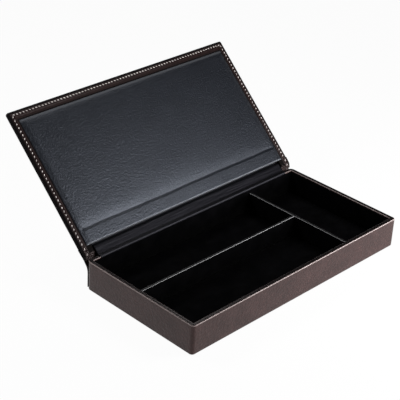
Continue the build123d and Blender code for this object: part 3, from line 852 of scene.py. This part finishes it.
def hem_shape(x, along, side, from_end):
    """Gathers and the seam's welts on the inner face of the folded-in ends."""
    if side > 0:
        return 0.0
    from_outside = hinge_half(LID_LOW) - abs(x)
    free = float(soft_step(1.0, 3.0, along))
    gathers = crease(x * 2, along, 51.0, 1.1, 5.0) * 0.55 + crease(x * 3, along, 57.0, 2.6, 7.0) * 0.40
    gathers = free * gathers * float(soft_step(0, 1, from_end))
    return -float(seam_height(from_outside, along / STITCH_PITCH)) - gathers


def strip_shape(x, along, side, from_end):
    """Small folds where the strip is free."""
    free = float(soft_step(1.5, 4.0, along) * soft_step(12.5, 9.5, along))
    return free * (crease(x, along, 41.0, 2.4, 50.0) * 0.25 + crease(x, along, 44.0, 1.1, 14.0) * 0.15)


def blend_across(obj):
    """Bakes a piece's placement into its mesh."""
    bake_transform(obj)


def hinge_leather():
    """The outer leatherette from the lid over the hinge and down the rear wall, where it is glued. At both
    ends it is folded in and stitched."""
    path, normals = hinge_leather_path()
    sides = [(-hinge_half(z), hinge_half(z)) for _, z in path]
    columns = spaced(-0.998, 0.998, 0.0045, 0.022, 0.06)
    parts = [bent_sheet(path, normals, sides, LEATHER, columns, leather_shape)]
    path, normals = hem_path()
    for end in (-1, 1):
        sides = [tuple(sorted((end * (hinge_half(z) - 0.1), end * HEM_INNER))) for _, z in path]
        parts.append(bent_sheet(path, normals, sides, HEM, np.linspace(-0.98, 0.98, 37), hem_shape))
    obj = piece("hinge_leatherette", parts, LID_LEATHER)
    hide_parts("hinge_leather", "rear_flap")
    blend_across(obj)
    return obj


def hinge_strip():
    """The black strip inside the hinge: from under the lid's edge over the rear rim and down inside."""
    level = LID_LOW + LID_THICKNESS - LEATHER - STRIP / 2
    start, knee = open_point(LID_REAR - 0.3, level), open_point(LID_REAR + STRIP_STUB, level)
    rim_z = TRAY_HEIGHT + STRIP / 2
    inside = TRAY_DEPTH / 2 - COVER - WALL_BOARD - STRIP / 2
    corners = [start, knee, (knee[0] - STRIP_SHOULDER, knee[1]), (TRAY_DEPTH / 2, rim_z), (inside, rim_z)]
    corners.append((inside, TRAY_HEIGHT - STRIP_DOWN))
    path, normals = bent_path(corners, [STRIP_BEND] * 3 + [STRIP_RIM_BEND], 0.35)
    sides = [(-STRIP_HALF, STRIP_HALF)] * len(path)
    sheet = bent_sheet(path, normals, sides, STRIP, spaced(-0.997, 0.997, 0.0045, 0.018, 0.05), strip_shape)
    obj = piece("hinge_strip_leatherette", [sheet], STRIP_LEATHER)
    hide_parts("hinge_lining", "rear_rim_strip")
    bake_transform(obj)
    return obj


# ---- Stitching ----
def thread_loop(start, end, lift, radius):
    """One visible stitch: a thread that rises out of its hole, lies on the leather and goes down again."""
    start, end, lift = Vector(start), Vector(end), Vector(lift).normalized()
    along = (end - start).normalized()
    side = along.cross(lift)
    points, sides, rows = [], 7, 7
    for row in range(rows):
        t = row / (rows - 1)
        rise = math.sin(math.pi * t) ** 0.6 * (THREAD_SINK + THREAD_RISE) - THREAD_SINK
        centre = start.lerp(end, t) + lift * rise
        size = radius * (0.55 + 0.45 * math.sin(math.pi * t) ** 0.5)
        for k in range(sides):
            turn = 2 * math.pi * k / sides
            points.append(centre + side * (math.cos(turn) * size) + lift * (math.sin(turn) * size * 0.85))
    return points, grid_faces(rows, sides, False, True)


def stitch_run(path, lifts, seed):
    """Stitches along a path of points, each turned and sized a little differently."""
    path, lifts = np.asarray(path, float), np.asarray(lifts, float)
    lengths = lengths_along(path)
    count = int(lengths[-1] // STITCH_PITCH)
    step = lengths[-1] / count
    rng = random.Random(seed)

    def at(values, distance):
        return Vector([float(np.interp(distance, lengths, values[:, axis])) for axis in range(3)])

    parts = []
    for k in range(count):
        middle = (k + 0.5) * step
        a, b = at(path, middle - STITCH_LENGTH / 2), at(path, middle + STITCH_LENGTH / 2)
        lift = at(lifts, middle).normalized()
        across = (b - a).cross(lift).normalized()
        slant = rng.uniform(*STITCH_SLANT)
        wobble = rng.uniform(-STITCH_WOBBLE, STITCH_WOBBLE)
        a, b = a + across * (wobble - slant), b + across * (wobble + slant)
        parts.append(thread_loop(a, b, lift, THREAD * rng.uniform(*THREAD_VARIES)))
    return parts


def lid_stitches():
    """Lock stitches round three edges of the lid, on its inner and its outer face."""
    half, far = LID_LENGTH / 2 - STITCH_INSET, LID_DEPTH - STITCH_INSET
    parts = []
    for face, height in ((-1, STITCH_UNDER), (1, LID_THICKNESS + STITCH_OVER)):
        runs = [
            [(-half, FIRST_STITCH, height), (-half, far, height)],
            [(-half, far, height), (half, far, height)],
            [(half, FIRST_STITCH, height), (half, far, height)],
        ]
        foot, tip = lid_place([(0, 0, 0), (0, 0, face)])
        for number, run in enumerate(runs):
            parts += stitch_run(lid_place(run), [tip - foot] * 2, 100 + 10 * face + number)
    obj = piece("lid_stitching", parts, THREAD_MATERIAL)
    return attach(obj, "lid")


def hinge_stitches():
    """The same rows where they run down both ends of the hinge leather, outside and on the fold inside."""
    rows = (  # path and normals, side, height over the path, lowest z
        (*hinge_leather_path(), 1, LEATHER / 2 + 0.1, HINGE_ROW_FOOT),
        (*hem_path(), -1, HEM / 2 + 0.2, HEM_ROW_FOOT),
    )
    parts = []
    for end in (-1, 1):
        for path, normals, side, depth, low in rows:
            run, lifts = [], []
            for (y, z), (ny, nz) in zip(path, normals):
                if z > low:
                    offset = side * depth
                    run.append((end * (hinge_half(z) - STITCH_INSET), y + ny * offset, z + nz * offset))
                    lifts.append((0, ny * side, nz * side))
            parts += stitch_run(run, lifts, 200 + 10 * end + side)
    obj = piece("hinge_stitching", parts, THREAD_MATERIAL)
    blend_across(obj)
    return obj


# ---- Camera, lights, floor ----
def add_camera():
    """Stands where the lines of the tray and the lid in the photograph say."""
    flat = math.cos(CAMERA_ELEVATION)
    back_x = math.sin(CAMERA_AZIMUTH) * flat
    back_y = -math.cos(CAMERA_AZIMUTH) * flat
    back = Vector((back_x, back_y, math.sin(CAMERA_ELEVATION)))
    level = (-back).cross(Vector((0, 0, 1))).normalized()
    down = (-back).cross(level)
    right = level * math.cos(CAMERA_ROLL) + down * math.sin(CAMERA_ROLL)
    up = level * math.sin(CAMERA_ROLL) - down * math.cos(CAMERA_ROLL)
    camera = bpy.data.objects.new("camera", bpy.data.cameras.new("camera"))
    bpy.context.scene.collection.objects.link(camera)
    turn = Matrix((right, up, back)).transposed().to_4x4()
    camera.matrix_world = Matrix.Translation(CAMERA_TARGET + back * CAMERA_DISTANCE) @ turn
    camera.data.sensor_width = SENSOR_WIDTH
    camera.data.lens = FOCAL_PIXELS / IMAGE_PIXELS * SENSOR_WIDTH
    camera.data.dof.use_dof = False
    camera.data.clip_start, camera.data.clip_end = CLIP_NEAR, CLIP_FAR
    bpy.context.scene.camera = camera


def add_light(name, position, target, size, power):
    data = bpy.data.lights.new(name, "AREA")
    data.shape = "RECTANGLE"
    data.size, data.size_y = size
    data.energy = power
    light = bpy.data.objects.new(name, data)
    bpy.context.scene.collection.objects.link(light)
    light.location = position
    light.rotation_mode = "QUATERNION"
    light.rotation_quaternion = (Vector(target) - Vector(position)).to_track_quat("-Z", "Y")


def add_world():
    """White at the horizon, where the floor ends, and dim above it."""
    world = bpy.data.worlds.new("studio")
    bpy.context.scene.world = world
    world.use_nodes = True
    nodes, links = world.node_tree.nodes, world.node_tree.links
    background = nodes["Background"]
    background.inputs["Color"].default_value = (1, 1, 1, 1)
    direction = nodes.new("ShaderNodeTexCoord").outputs["Generated"]
    strength = nodes.new("ShaderNodeMapRange")
    strength.interpolation_type = "SMOOTHSTEP"
    values = (*HORIZON_HEIGHTS, *HORIZON_STRENGTHS)
    for socket, value in zip(("From Min", "From Max", "To Min", "To Max"), values):
        strength.inputs[socket].default_value = value
    links.new(axis_of(nodes, links, direction, "Z"), strength.inputs["Value"])
    links.new(strength.outputs[0], background.inputs["Strength"])


def add_floor():
    """A pale floor that takes the shadow. To the camera and in reflections it is nearly white."""
    bpy.ops.mesh.primitive_plane_add(size=STAGE_SIZE)
    floor = bpy.context.object
    floor.name = "floor"
    material, nodes, links, shader, _ = new_material("pale_floor")
    shader.inputs["Base Color"].default_value = STAGE_GREY
    shader.inputs["Roughness"].default_value = 0.9
    shader.inputs["Specular IOR Level"].default_value = 0.0
    glow = nodes.new("ShaderNodeEmission")
    ray = nodes.new("ShaderNodeLightPath").outputs
    seen = math_node(nodes, links, "MAXIMUM", ray["Is Camera Ray"], ray["Is Glossy Ray"])
    seen = math_node(nodes, links, "MAXIMUM", seen, ray["Is Transmission Ray"])
    mix = nodes.new("ShaderNodeMixShader")
    links.new(math_node(nodes, links, "MULTIPLY", seen, STAGE_GLOW_SHARE), mix.inputs[0])
    links.new(shader.outputs[0], mix.inputs[1])
    links.new(glow.outputs[0], mix.inputs[2])
    links.new(mix.outputs[0], nodes["Material Output"].inputs["Surface"])
    floor.data.materials.append(material)


# ---- Everything ----
tray_cover()
wall_linings()
for pad_node in ("front_floor_pad", "rear_floor_pad", "side_floor_pad"):
    floor_pad(pad_node)
divider("long_divider_cover", True, ["long_divider_lining"])
divider("cross_divider_cover", False, ["cross_divider_lining"])
lid_cover()
lid_lining()
hinge_leather()
hinge_strip()
lid_stitches()
hinge_stitches()

# The solids that stay get board, card or felt.
finish_of = {"card": CARD, "felt": FELT}
slots = {entry["node"]: entry["material_slot"] for entry in frame["record"]["subparts"]}
for node_name, node in frame["nodes"].items():
    material = finish_of.get(slots[node_name], BOARD)
    node.data.materials.clear()
    node.data.materials.append(material)

bpy.context.scene.view_settings.view_transform = "Standard"
add_world()
add_floor()
for softbox in SOFTBOXES:
    add_light(*softbox)
add_camera()
